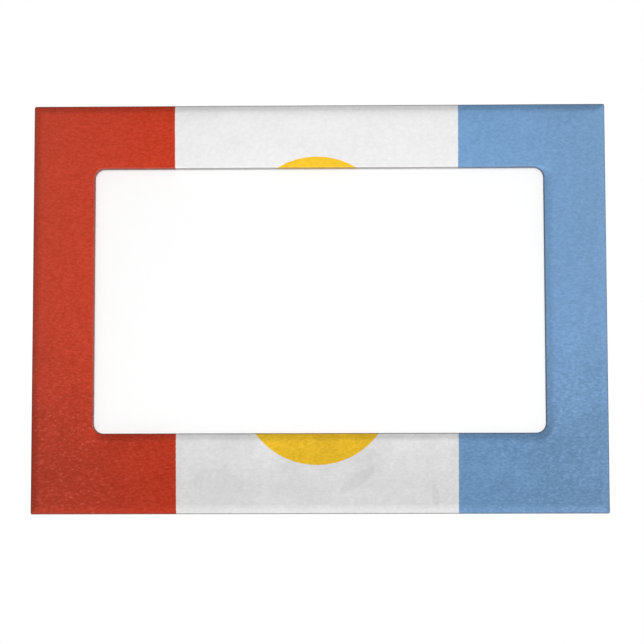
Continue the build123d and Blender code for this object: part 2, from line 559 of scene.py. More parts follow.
@dataclass(frozen=True)
class Finish:
    """What a real material looks like, how its surface was made, and the nodes that show it."""

    name: str
    output = "OutputMaterial"

    @cached_property
    def owner(self) -> bpy.types.Material | bpy.types.World:
        """The material that the nodes belong to."""
        return bpy.data.materials.new(self.name)

    @cached_property
    def tree(self) -> bpy.types.NodeTree:
        """The material's node tree, emptied.

        Returns:
            The node tree.
        """
        self.owner.use_nodes = True
        self.owner.node_tree.nodes.clear()
        return self.owner.node_tree

    @cached_property
    def place(self) -> Socket:
        """Object coordinates, in metres."""
        return self.add("TexCoord", out="Object")

    def build(self) -> bpy.types.Material | bpy.types.World:
        """Makes the material."""
        self.add(self.output, {"Surface": self.surface()})
        return self.owner

    def surface(self) -> Socket:
        """Adds the nodes of the surface, and returns their shader."""
        raise NotImplementedError

    def add(
        self, kind: str, values: dict | Sequence = (), out: int | str = 0, size: float = 0.0, **settings
    ) -> Socket | None:
        """Adds one node with its settings, values and links.

        Args:
            kind: the node's type name, without the word ShaderNode.
            values: a value to set or a socket to link from, for the first inputs or by name or number.
            out: which output is wanted, by name or number.
            size: how large a texture's pattern is at the place, in millimetres. Left out, values say it.
            **settings: properties of the node itself.

        Returns:
            That output, or None where the node has none.
        """
        node = set_up(self.tree.nodes.new(f"ShaderNode{kind}"), **settings)
        if size:
            values = {"Vector": self.place, "Scale": 1 / (size * MM), **values}
        for key, value in values.items() if isinstance(values, dict) else enumerate(values):
            if isinstance(value, Socket):
                self.tree.links.new(value, node.inputs[key])
            else:
                node.inputs[key].default_value = value
        return node.outputs[out] if node.outputs else None

    def wandering(self, size: float, detail: float, swing: float) -> Socket:
        """Object coordinates that a noise moves to and fro.

        Args:
            size: the noise's size, in millimetres.
            detail: how many finer layers it has.
            swing: how far its whole reach would move a place, in millimetres.

        Returns:
            The moved coordinates.
        """
        noise = self.add("TexNoise", {"Detail": detail}, 1, size)
        centred = self.add("VectorMath", (noise, (0.5, 0.5, 0.5)), operation="SUBTRACT")
        return self.add("VectorMath", (centred, (swing * MM,) * 3, self.place), operation="MULTIPLY_ADD")

    def shaded(
        self, colour: Colour | Socket, by: Socket, reach: Point, shade: Point, run: str = "LINEAR"
    ) -> Socket:
        """Multiplies a colour by a value after mapping it.

        Args:
            colour: the colour.
            by: the value.
            reach: the value's lowest and highest.
            shade: what those two stand for.
            run: how it goes from the one to the other, LINEAR or SMOOTHSTEP.

        Returns:
            The shaded colour.
        """
        factor = self.add("MapRange", (by, *reach, *shade), interpolation_type=run)
        inputs = {0: 1.0, MIX_A: colour, MIX_B: factor}
        return self.add("Mix", inputs, MIX_OUT, data_type="RGBA", blend_type="MULTIPLY")

    def covered(
        self, below: Colour | Socket, ink: str, by: Socket, reach: Point, share: Point, run: str = "LINEAR"
    ) -> Socket:
        """Lays a hex colour over another, in the two shares that the ends of a value's reach stand for."""
        mask = self.add("MapRange", (by, *reach, *share), interpolation_type=run)
        return self.add("Mix", {0: mask, MIX_A: below, MIX_B: linear(ink)}, MIX_OUT, data_type="RGBA")

    def solid(self, looks: dict, height: Socket, strength: float, depth: float) -> Socket:
        """The shader of a solid with these looks and a relief of this strength and depth in millimetres."""
        normal = self.add("Bump", {"Height": height, "Strength": strength, "Distance": depth * MM})
        return self.add("BsdfPrincipled", {"Normal": normal, **looks})


@dataclass(frozen=True)
class Leatherette(Finish):
    """PVC on a cloth back, embossed by a roller with a pebbled hide grain.

    It gives the eye a semi-gloss skin: low pebbles a bit over a millimetre across, soft creases between them,
    and a broken sheen instead of clean reflections.
    """

    colour: str = "#2b2a2b"
    pebble_mm: float = 1.3
    crease_mm: float = 2.4
    fine_mm: float = 0.35
    drift_mm: float = 4.0
    drift_swing_mm: float = 0.9
    patch_mm: float = 9.0
    relief_mm: float = 0.05
    bump: float = 0.55
    roughness: float = 0.42
    duller: float = 0.07
    shinier: float = 0.05
    ior: float = 1.5
    gloss: float = 0.12
    grain_reach: Point = (0.2, 0.9)
    # painted shade in the grain's pits and painted light on its pebbles
    grain_shade: Point = (0.75, 1.08)

    def surface(self) -> Socket:
        """Adds the nodes of the embossed sheet.

        Returns:
            The shader.
        """
        height = self._relief()
        patches = self.add("TexNoise", {"Detail": 3.0, "Roughness": 0.6}, size=self.patch_mm)
        ends = (self.roughness - self.shinier, self.roughness + self.duller)
        looks = {
            "Base Color": self.tint(height),
            "Roughness": self.add("MapRange", (patches, *NOISE, *ends)),
            "IOR": self.ior,
            "Specular IOR Level": self.gloss,
        }
        return self.solid(looks, height, self.bump, self.relief_mm)

    def _relief(self) -> Socket:
        """Adds the embossed grain.

        Returns:
            Its height, from about 0 in the creases to 1 on the pebbles.
        """
        bent = self.wandering(self.drift_mm, 1.0, self.drift_swing_mm)
        inputs = {"Vector": bent, "Smoothness": 0.7}
        pebbles = self.add("TexVoronoi", inputs, size=self.pebble_mm, feature="SMOOTH_F1")
        creases = self.add("TexVoronoi", {"Vector": bent}, size=self.crease_mm, feature="DISTANCE_TO_EDGE")
        ridges = self.add("MapRange", (creases, 0.0, 0.16), interpolation_type="SMOOTHSTEP")
        fine = self.add("TexNoise", {"Detail": 2.0, "Roughness": 0.6}, size=self.fine_mm)
        height = self.add("Math", (pebbles, -0.6, 0.5), operation="MULTIPLY_ADD")
        for layer in (ridges, fine):
            height = self.add("Math", (layer, 0.3, height), operation="MULTIPLY_ADD")
        return height

    def tint(self, height: Socket) -> Socket:
        """The sheet's colour, with painted shade in the pits of the grain and painted light on its pebbles.
        """
        return self.shaded(linear(self.colour), height, self.grain_reach, self.grain_shade)


@dataclass(frozen=True)
class Disc:
    """A printed disc, in millimetres on the frame's front."""

    x: float
    z: float
    radius: float


@dataclass(frozen=True)
class Scuff:
    """A faint grey rub on the print, in millimetres and degrees."""

    x: float
    z: float
    length: float
    width: float
    turn: float


@dataclass(frozen=True)
class PrintedLeatherette(Leatherette):
    """White PVC leatherette, embossed, then printed flat with bands and discs by UV inkjet.

    The ink lies in a thin film, so its colour is even and its edges are sharp but for the grain. It gives the
    eye tiny pale dashes where the pits took less ink, and a grey line of painted shade along the folds.
    """

    # painted shade in the grain's pits and painted light on its pebbles
    grain_shade: Point = (0.955, 1.02)
    red: str = "#c73617"
    white: str = "#f1f1f1"
    blue: str = "#76a1ce"
    yellow: str = "#fcca2b"
    red_edge: Point = (-44.84, -43.98)
    blue_edge: Point = (43.33, 42.67)
    half_height: float = 63.3
    discs: tuple[Disc, ...] = (Disc(-0.7, 23.6, 23.5), Disc(-0.7, -25.0, 23.5))
    ink_edge: float = 0.1
    bleed_mm: float = 0.8
    bleed_swing_mm: float = 0.25
    dash_mm: float = 1.0
    ink_swing: float = 0.06
    thin_ink: float = 0.018
    scuffs: tuple[Scuff, ...] = (Scuff(11.6, -53.2, 14.0, 3.7, 34.0), Scuff(35.6, -57.9, 6.2, 2.5, 98.0))
    ragged_mm: float = 1.6
    scuff_shade: float = 0.92
    cloud_mm: float = 12.0
    cloud_shade: Point = (0.97, 1.015)
    # where the painted light, shade and glints on the grain are strongest: to the sides and below, least in
    # the middle and at the top
    grain_light_aside: Point = (30.0, 80.0)
    grain_light_middle: float = 0.3
    grain_light_below: Point = (5.0, -38.0)
    grain_light_top: float = 0.25
    low_swing: float = 0.115
    # painted shade: the print is darker towards the bottom
    low_shade: float = 0.76
    low_reach: Point = (-32.0, 25.0)
    low_wander_mm: float = 60.0
    # a grey painted sheen, partly grime, towards both ends
    grime_and_sheen: str = "#767468"
    grime_and_sheen_reach: Point = (42.0, 88.0)
    grime_and_sheen_most: float = 0.11
    # pale painted glints on the grain
    speck: str = "#efebe7"
    speck_most: float = 0.1
    # painted shade: a grey line along the folds of the rims
    painted_rim_shade: str = "#4a4542"
    painted_rim_shade_reach: Point = (0.15, 0.4)
    painted_rim_shade_most: float = 0.68
    # painted shade in the window's wall, deeper into the recess
    wall_shade: float = 0.6

    def tint(self, height: Socket) -> Socket:
        """The printed colours with pale dashes and wear, painted light, shade and glints on the grain, a grey
        painted sheen, partly grime, and painted shade lower down, in the window's wall and along the folds.

        Args:
            height: the grain's height.

        Returns:
            The colour.
        """
        dashes = self._dashes()
        colour = self._paint_grain_light(self._printed(dashes), dashes)
        cloud = self.add("TexNoise", {"Detail": 5.0, "Roughness": 0.62}, size=self.cloud_mm)
        # painted shade in the grain's pits and painted light on its pebbles
        colour = self.shaded(colour, height, self.grain_reach, self.grain_shade)
        colour = self.shaded(colour, cloud, NOISE, self.cloud_shade)
        for scuff in self.scuffs:
            colour = self._rub(colour, scuff)
        # painted shade: darker towards the bottom, along a line that the cloud bends
        up = self.add("SeparateXYZ", (self.place,), "Z")
        up = self.add("Math", (cloud, self.low_wander_mm * MM, up), operation="MULTIPLY_ADD")
        colour = self.shaded(colour, up, metres(self.low_reach), (self.low_shade, 1.0), "SMOOTHSTEP")
        rim = self.add("Attribute", out="Fac", attribute_name="from_rim")
        # painted shade in the window's wall, deeper into the recess
        colour = self.shaded(colour, rim, (-1.0, 0.0), (self.wall_shade, 1.0))
        # painted shade: a grey line along the folds of the rims
        return self.covered(colour, self.painted_rim_shade, rim, self.painted_rim_shade_reach, (self.painted_rim_shade_most, 0.0), "SMOOTHSTEP")

    def _dashes(self) -> Socket:
        """Adds the finest grain of the emboss.

        Returns:
            Short level dashes, centred on a half.
        """
        # the dashes are drawn flatter than they are wide, as a hide's are where it was stretched sideways
        flat = self.add("Mapping", {"Vector": self.place, "Scale": (1.0, 1.0, 2.0)})
        return self.add("TexNoise", {"Vector": flat, "Detail": 1.0, "Roughness": 0.6}, size=self.dash_mm)

    def _printed(self, dashes: Socket) -> Socket:
        """Prints the discs and bands on the white sheet, with ink that lies uneven on the dashes.

        Args:
            dashes: the finest grain.

        Returns:
            The printed colours.
        """
        inked = self.wandering(self.bleed_mm, 2.0, self.bleed_swing_mm)
        flat = self.add("VectorMath", (inked, (1, 0, 1)), operation="MULTIPLY")
        axes = self.add("SeparateXYZ", (inked,)).node.outputs

        # a distance in metres, where the ink ends on it, whether the ink is on its lower side, and the ink
        stencils = []
        for disc in self.discs:
            centre = (disc.x * MM, 0, disc.z * MM)
            distance = self.add("VectorMath", (flat, centre), 1, operation="DISTANCE")
            stencils.append((distance, disc.radius, True, self.yellow))
        bands = ((self.red_edge, True, self.red), (self.blue_edge, False, self.blue))
        for (top, bottom), lower, ink in bands:
            # a band's edge leans from one place at the top to another at the bottom
            lean = (top - bottom) / (2 * self.half_height)
            upright = self.add("Math", (axes["Z"], -lean, axes["X"]), operation="MULTIPLY_ADD")
            stencils.append((upright, (top + bottom) / 2, lower, ink))

        cover = self.add("MapRange", (dashes, *NOISE, 1.0, 1 - self.thin_ink))
        colour: Colour | Socket = linear(self.white)
        for distance, at, lower, ink in stencils:
            edge = metres((at - self.ink_edge, at + self.ink_edge))
            values = (distance, *edge, float(lower), float(not lower))
            mask = self.add("MapRange", values, interpolation_type="SMOOTHSTEP")
            share = self.add("Math", (mask, cover), operation="MULTIPLY")
            uneven = self.shaded(linear(ink), dashes, NOISE, (1 - self.ink_swing, 1 + self.ink_swing))
            colour = self.add("Mix", {0: share, MIX_A: colour, MIX_B: uneven}, MIX_OUT, data_type="RGBA")
        return colour

    def _paint_grain_light(self, colour: Socket, dashes: Socket) -> Socket:
        """Paints stronger light, shade and pale glints on the grain of all colours to the sides and below,
        and greys them towards both ends with a painted sheen, partly grime.

        Args:
            colour: the colour.
            dashes: the finest grain.

        Returns:
            The colour with the painted light, shade and glints on its grain.
        """
        axes = self.add("SeparateXYZ", (self.place,)).node.outputs
        aside = self.add("Math", (axes["X"],), operation="ABSOLUTE")
        shares = [
            self.add("MapRange", (along, *metres(reach), least), interpolation_type="SMOOTHSTEP")
            for along, reach, least in (
                (aside, self.grain_light_aside, self.grain_light_middle),
                (axes["Z"], self.grain_light_below, self.grain_light_top),
            )
        ]
        # how strong the painted light, shade and glints on the grain are here
        grain_light = self.add("Math", shares, operation="MULTIPLY")
        centred = self.add("Math", (dashes, 0.5), operation="SUBTRACT")
        swing = self.add("Math", (centred, grain_light), operation="MULTIPLY")
        # painted light and shade on the grain
        colour = self.shaded(colour, swing, (-0.11, 0.2), (1 - self.low_swing / 2, 1 + self.low_swing))
        # a grey painted sheen, partly grime, towards both ends
        colour = self.covered(colour, self.grime_and_sheen, aside, metres(self.grime_and_sheen_reach), (0.0, self.grime_and_sheen_most))
        # pale painted glints on the grain
        return self.covered(colour, self.speck, swing, (0.15, 0.26), (0.0, self.speck_most))

    def _rub(self, colour: Socket, scuff: Scuff) -> Socket:
        """Darkens a colour where something has rubbed the print.

        Args:
            colour: the colour.
            scuff: the rub.

        Returns:
            The darkened colour.
        """
        inputs = {
            "Vector": self.place,
            "Location": (scuff.x * MM, 0, scuff.z * MM),
            "Rotation": (0, -math.radians(scuff.turn), 0),
            "Scale": (scuff.length / 2 * MM, 1.0, scuff.width / 2 * MM),
        }
        mapped = self.add("Mapping", inputs, vector_type="TEXTURE")
        flat = self.add("VectorMath", (mapped, (1, 0, 1)), operation="MULTIPLY")
        reach = self.add("VectorMath", (flat,), 1, operation="LENGTH")
        ragged = self.add("TexNoise", {"Detail": 3.0}, size=self.ragged_mm)
        edge = self.add("Math", (ragged, 0.7, reach), operation="MULTIPLY_ADD")
        return self.shaded(colour, edge, (1.2, 1.4), (self.scuff_shade, 1.0))


@dataclass(frozen=True)
class Fibrous(Finish):
    """Board, card or paper, pressed from pulp: matt, with a faint cloud of fibres."""

    colour: str = "#8e8a83"
    fibre: str = "#a6a29b"
    amount: float = 0.5
    fibre_mm: float = 2.0
    roughness: float = 0.9
    relief_mm: float = 0.02

    def surface(self) -> Socket:
        """Adds the nodes of the pressed pulp.

        Returns:
            The shader.
        """
        drawn = self.add("Mapping", {"Vector": self.place, "Rotation": (0, 0.5, 0), "Scale": (1.0, 1.0, 3.5)})
        inputs = {"Vector": drawn, "Detail": 6.0, "Roughness": 0.75, "Distortion": 0.6}
        pulp = self.add("TexNoise", inputs, size=self.fibre_mm)
        colour = self.covered(linear(self.colour), self.fibre, pulp, (0.38, 0.66), (0.0, self.amount))
        looks = {"Base Color": colour, "Roughness": self.roughness, "IOR": 1.45}
        return self.solid(looks, pulp, 0.3, self.relief_mm)


@dataclass(frozen=True)
class ClearPlastic(Finish):
    """PET film or tape, drawn smooth and clear: seen only by its reflections and a trace of haze.

    It has no refraction, because so thin a sheet doesn't shift what is behind it.
    """

    haze: float = 0.0
    roughness: float = 0.05
    ior: float = 1.575
    ripple_mm: float = 30.0

    def surface(self) -> Socket:
        """Adds the nodes of the clear sheet.

        Returns:
            The shader.
        """
        ripple = self.add("TexNoise", {"Detail": 1.0}, size=self.ripple_mm)
        bump = self.add("Bump", {"Height": ripple, "Strength": 0.1, "Distance": 0.2 * MM})
        fresnel = self.add("Fresnel", {"IOR": self.ior, "Normal": bump})
        inside = self.add("NewGeometry", out="Backfacing")
        outside = self.add("Math", (1.0, inside), operation="SUBTRACT")
        share = self.add("Math", (fresnel, outside, self.haze), operation="MULTIPLY_ADD", use_clamp=True)
        clear = self.add("BsdfTransparent", {"Color": WHITE})
        gloss = self.add("BsdfGlossy", {"Color": WHITE, "Roughness": self.roughness, "Normal": bump})
        return self.add("MixShader", (share, clear, gloss))


@dataclass(frozen=True)
class MagnetRubber(Finish):
    """Ferrite powder in a nitrile rubber binder, rolled to a sheet.

    It gives the eye a dark brown-grey, matt face with the rolls' faint upright lines and paler rubs.
    """

    colour: str = "#38312d"
    rub: str = "#5a524c"
    line_mm: float = 1.8
    powder_mm: float = 0.4
    rub_mm: float = 22.0
    roughness: float = 0.6

    def surface(self) -> Socket:
        """Adds the nodes of the rolled sheet.

        Returns:
            The shader.
        """
        scale = WAVE_SPAN / (self.line_mm * MM)
        inputs = {"Vector": self.place, "Scale": scale, "Distortion": 0.3, "Detail": 1.0}
        lines = self.add("TexWave", inputs, 1, wave_type="BANDS", bands_direction="X")
        powder = self.add("TexNoise", {"Detail": 3.0}, size=self.powder_mm)
        rubs = self.add("TexNoise", {"Detail": 8.0, "Roughness": 0.7}, size=self.rub_mm)
        colour = self.covered(linear(self.colour), self.rub, rubs, (0.48, 0.75), (0.0, 0.25))
        height = self.add("Math", (lines, 0.6, powder), operation="MULTIPLY_ADD")
        return self.solid({"Base Color": colour, "Roughness": self.roughness, "IOR": 1.52}, height, 0.6, 0.06)


@dataclass(frozen=True)
class Foam(Finish):
    """Open-cell polyurethane foam, blown and sliced: pale cream, quite matt, with fine cells."""

    colour: str = "#dcd8ca"
    cell_mm: float = 0.7

    def surface(self) -> Socket:
        """Adds the nodes of the sliced foam.

        Returns:
            The shader.
        """
        cells = self.add("TexVoronoi", {}, size=self.cell_mm)
        colour = self.shaded(linear(self.colour), cells, (0.0, 0.6), (0.7, 1.05))
        return self.solid({"Base Color": colour, "Roughness": 0.95}, cells, 0.8, 0.15)


@dataclass(frozen=True)
class FloorPaint(Finish):
    """Matt emulsion, rolled on a studio floor: plain and pale, and faded out towards the floor's rim."""

    colour: str = "#f2f2f0"
    reach: float = 1.3
    full: float = 0.45

    def surface(self) -> Socket:
        """Adds the nodes of the painted floor.

        Returns:
            The shader.
        """
        level = self.add("VectorMath", (self.place, (1, 1, 0)), operation="MULTIPLY")
        distance = self.add("VectorMath", (level,), 1, operation="LENGTH")
        values = (distance, self.full * self.reach, self.reach)
        fade = self.add("MapRange", values, interpolation_type="SMOOTHERSTEP")
        paint = self.add("BsdfPrincipled", {"Base Color": linear(self.colour), "Roughness": 0.8})
        return self.add("MixShader", (fade, paint, self.add("BsdfTransparent", {"Color": WHITE})))


@dataclass(frozen=True)
class Surround(Finish):
    """A white studio all round: light of one plain level, and white where it is seen."""

    level: float = 0.2
    output = "OutputWorld"

    @cached_property
    def owner(self) -> bpy.types.World:
        """The world that the nodes belong to."""
        return bpy.data.worlds.new(self.name)

    def surface(self) -> Socket:
        """Adds the nodes of the white surround.

        Returns:
            The shader.
        """
        rays = self.add("LightPath").node.outputs
        seen = rays["Is Camera Ray"]
        for ray in ("Is Glossy Ray", "Is Transmission Ray"):
            seen = self.add("Math", (seen, rays[ray]), operation="MAXIMUM")
        plain, white = (self.add("Background", (WHITE, strength)) for strength in (self.level, 1.0))
        return self.add("MixShader", (seen, plain, white))


def fit_out(piece: Piece, finish: Finish, node: str) -> None:
    """Gives a piece its finish, and places it in the model.

    Args:
        piece: the object.
        finish: what it is made of.
        node: the solid that it stands for.
    """
    wear(piece, finish.build())
    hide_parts(node)
    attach(piece, "frame")


@dataclass
class FrontPanel:
    """The padded front: a printed sheet drawn over foam and board, and folded in behind."""

    outer: Outline = field(default_factory=lambda: Outline(177.8, 127.0, 0.5, 0.0, 4, 68, 42))
    window: Outline = field(default_factory=lambda: Outline(139.4, 82.3, 3.0, 2.45, 12, 60, 34))
    thickness: float = 0.45
    front: float = 6.5
    bevel_width: float = 2.3
    bevel_drop: float = 1.0
    bevel_round: float = 0.75
    rim_round: float = 0.48
    back: float = 3.4
    board_front: float = 4.85
    fold_round: float = 0.65
    flat_start: float = 3.4
    outer_turn_in: float = 9.3
    window_turn_in: float = 7.0
    mitre_slit: float = 0.4
    flat_rings: int = 7
    longest_run: float = 2.2
    round_steps: int = 5
    tight_bevel: float = 0.12
    # how much narrower the painted shade along the rim is where the window's bevel is tight
    tight_painted_rim_shade: float = 0.2
    pressure: float = 0.05
    cover_swell: float = 0.08
    padding_swell: float = 0.05
    padding_round: float = 0.1
    padding_rings: int = 4
    clearance: float = 0.02
    even_wall: float = 0.3
    # name, wave length and swing
    ripples: tuple[tuple[str, float, float], ...] = (("sag", 34.0, 0.34), ("pucker", 11.0, 0.12))
    cover: Piece | None = None
    padding: Piece | None = None

    @property
    def bevel_foot(self) -> float:
        """The height where the bevel meets the wall."""
        return self.front - self.bevel_drop

    def build(self) -> None:
        """Makes the cover and the padding."""
        self.cover = self._build_cover()
        self.padding = self._build_padding()

    def _section(self, turn_in: float) -> list[Point]:
        """The line from the flat, over the bevel, down the wall and along the turned-in edge.

        Args:
            turn_in: how wide the turned-in edge is.

        Returns:
            The distance from the outline and the height at each point.
        """
        corners = [
            (self.flat_start, self.front),
            (self.bevel_width, self.front),
            (0.0, self.bevel_foot),
            (0.0, self.back),
            (turn_in, self.back),
        ]
        rounds = (self.bevel_round, self.rim_round, self.fold_round)
        return spaced(soft_path(corners, rounds, self.round_steps), self.longest_run)

    def _build_cover(self) -> Piece:
        """Makes the printed sheet, closed and as thick as the real one.

        Returns:
            The sheet.
        """
        outer, window = self._section(self.outer_turn_in), self._section(self.window_turn_in)
        bevel = sum(height >= self.bevel_foot - self.rim_round - CLOSE for _, height in window)
        cover = bars_skin("printed_cover", self.outer, self.window, outer, window, bevel, self.flat_rings)
        cut_away(cover, self._is_cut)
        point_outwards(cover)
        moves = self._tighten(cover.data.vertices, self.window)
        self._mark_rims(cover)
        swell(cover, lambda place: 1 - self._slack(place), self.pressure, self.cover_swell)
        self._ripple(cover)
        self._add_inside(cover, moves)
        smooth(cover)
        return cover

    def _slack(self, place: Vector) -> float:
        """How free the sheet is at a place: 0 at the foot of the bevel and behind, 1 on the flat."""
        return min(1.0, max(0.0, (-place.y / MM - self.bevel_foot) / self.bevel_drop))

    def _is_cut(self, face: Face) -> bool:
        """Whether a face is cut out: for a mitre slit, or for a square corner of the window's turned-in edge.

        Args:
            face: a face of the cover.

        Returns:
            Whether it is.
        """
        place = face.calc_center_median()
        # past the ends of the window's straight sides
        x = abs(place.x) / MM - self.window.width / 2 + self.window.radius
        z = abs(place.z / MM - self.window.middle) - self.window.height / 2 + self.window.radius
        at_window = min(x, z) > 0 and max(x, z) < self.window_turn_in + self.window.radius + 0.1
        at_slit = self.outer.on_mitre(place, self.mitre_slit, 2 * self.thickness)
        return place.y > -(self.back + 0.001) * MM and (at_slit or at_window)

    @staticmethod
    def _tightness(away: Point) -> float:
        """How tightly the sheet is pulled on a side of the window: 1 at its top and left, 0 at the others."""
        turn = min(1.0, max(0.0, (1 + away[1] - away[0]) / 2))
        return turn**2 * (3 - 2 * turn)

    def _tighten(self, vertices: Sequence[bpy.types.MeshVertex], window: Outline) -> list[Vector]:
        """Draws the bevel in along the window's top and left, where the sheet is pulled tighter.

        Args:
            vertices: the points of a skin, or of one side of the sheet.
            window: the outline that they are drawn towards.

        Returns:
            How far each point was moved.
        """
        # as far as the flat's first ring, and a little below the bevel's foot
        furthest, lowest = self.flat_start + 0.01, self.bevel_foot - 1
        moves = []
        for vertex in vertices:
            distance, away = window.reach(vertex.co)
            back = 0.0
            if 0 < distance < furthest and -vertex.co.y / MM >= lowest:
                back = distance * (1 - self.tight_bevel) * self._tightness(away) * MM
            moves.append(Vector((-away[0] * back, 0, -away[1] * back)))
            vertex.co += moves[-1]
        return moves

    def _add_inside(self, cover: Piece, moves: Sequence[Vector]) -> None:
        """Thickens the sheet with its bevel still wide, because the inside of a tight one would fold over.

        Args:
            cover: the sheet's outside.
            moves: how far each of its points was moved to tighten the bevel.
        """
        for vertex, move in zip(cover.data.vertices, moves):
            vertex.co -= move
        thicken(cover, self.thickness)
        # the inside's points come after those of the outside
        inside = cover.data.vertices[len(moves) :]
        for vertex, move in zip(cover.data.vertices, moves):
            vertex.co += move
        self._tighten(inside, self.window.grown(self.thickness))

    def _mark_rims(self, cover: Piece) -> None:
        """Writes how far in from the nearer rim each point is, in millimetres, for the painted shade along
        it.

        On the window's wall it is less than 0, and says how deep in the window the point is, for the wall's
        painted shade.

        Args:
            cover: the sheet's outside.
        """
        marks = cover.data.attributes.new("from_rim", "FLOAT", "POINT")
        for vertex, mark in zip(cover.data.vertices, marks.data):
            from_window, away = self.window.reach(vertex.co)
            # the painted shade along the rim is narrower on the tight sides
            from_window *= 1 + self.tight_painted_rim_shade * self._tightness(away)
            depth = max(0.0, self.bevel_foot + vertex.co.y / MM)
            mark.value = min(-self.outer.reach(vertex.co)[0], from_window - depth)

    def _ripple(self, cover: Piece) -> None:
        """Makes the sheet uneven by some hundredths of a millimetre, as glued leatherette is.

        Args:
            cover: the sheet's outside.
        """
        wall = self.bevel_foot - self.back
        weigh(cover, "front", lambda place: (-place.y / MM - self.back - self.even_wall) / wall)
        for name, wave, swing in self.ripples:
            texture = set_up(bpy.data.textures.new(name, "CLOUDS"), noise_scale=wave * MM, noise_depth=1)
            uneven = cover.modifiers.new(name, "DISPLACE")
            set_up(uneven, texture=texture, texture_coords="LOCAL", mid_level=0.5, vertex_group="front")
            # straight to the front, because along the normals the rings of the tight bevel would cross
            set_up(uneven, direction="Y", strength=-swing * MM)
        apply_modifiers(cover)
        cover.vertex_groups.clear()

    def _build_padding(self) -> Piece:
        """Makes the foam frame that fills the front of the cover, with a mesh about half as fine.

        Returns:
            The foam frame.
        """
        skin = self.thickness + self.clearance
        slope = self.bevel_drop / self.bevel_width
        lean = self.thickness * math.hypot(1, slope)
        foot = self.bevel_foot - lean + self.thickness * slope - self.clearance
        top = self.front - skin
        outer = replace(self.outer.within(skin), across=34, along=22)
        window = replace(self.window.grown(skin), across=30, along=18, corner_steps=8)
        corners = [
            (self.flat_start, top),
            ((top - foot) / slope, top),
            (0.0, foot),
            (0.0, self.board_front + self.clearance),
        ]
        line = soft_path(corners, (self.bevel_round, self.padding_round), self.round_steps)
        padding = bars_skin("foam_padding", outer, window, line, line, len(line) - 1, self.padding_rings)
        self._close_back(padding, window)
        point_outwards(padding)
        self._tighten(padding.data.vertices, window)
        depth = top - foot
        swell(padding, lambda place: 1 - (-place.y / MM - foot) / depth, self.pressure, self.padding_swell)
        smooth(padding)
        return padding

    def _close_back(self, padding: Piece, window: Outline) -> None:
        """Bridges the two open rings behind.

        Args:
            padding: the foam, open at the last ring of its outer and its window's wall.
            window: the hole in the foam.
        """
        away = self.outer.width * MM
        edit(padding)
        pick(padding, "VERT", lambda point: point.is_boundary and window.reach(point.co)[0] < self.clearance)
        bpy.ops.transform.translate(value=(0, away, 0))
        bridge(padding, lambda edge: edge.is_boundary, away)
        done()

    def dress(self) -> None:
        """Gives the front's pieces their finishes and places them in the model."""
        cover, padding = self.cover, self.padding
        printed = PrintedLeatherette("printed_embossed_pvc_leatherette")
        fit_out(cover, printed, "front_cover")
        fit_out(padding, Foam("sliced_polyurethane_foam"), "foam_pad")


